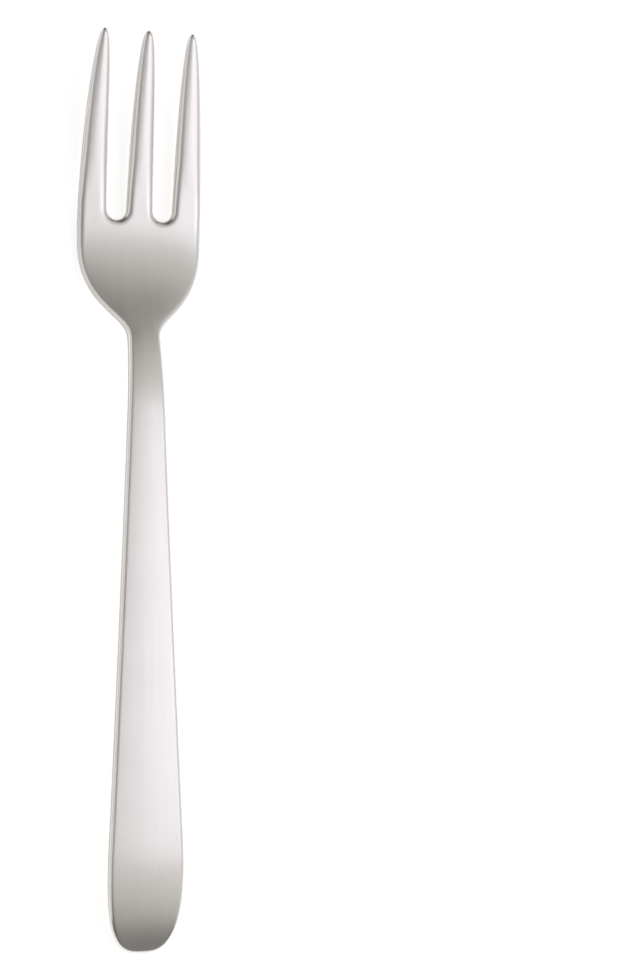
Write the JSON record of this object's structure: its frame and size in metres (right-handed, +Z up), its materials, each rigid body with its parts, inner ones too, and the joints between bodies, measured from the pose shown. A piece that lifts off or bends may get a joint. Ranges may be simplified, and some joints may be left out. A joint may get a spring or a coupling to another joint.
{
  "type": "serving fork",
  "caption": "Flat steel serving fork with long tapering tines, rounded shoulders, a slim neck and a handle that widens to a rounded, down-turned end.",
  "frame": {"origin": "on the table under the middle of the fork, which lies face up", "axes": "+X across the fork, +Y from the handle to the tine tips, +Z up from the table"},
  "size_m": [0.0334, 0.24, 0.0159],
  "materials": {
    "steel": "satin, brushed lengthwise"
  },
  "bodies": {
    "root": {"handle_end": "steel", "handle": "steel", "neck": "steel", "palm": "steel", "tine_left": "steel", "tine_middle": "steel", "tine_right": "steel"}
  },
  "joints": []
}
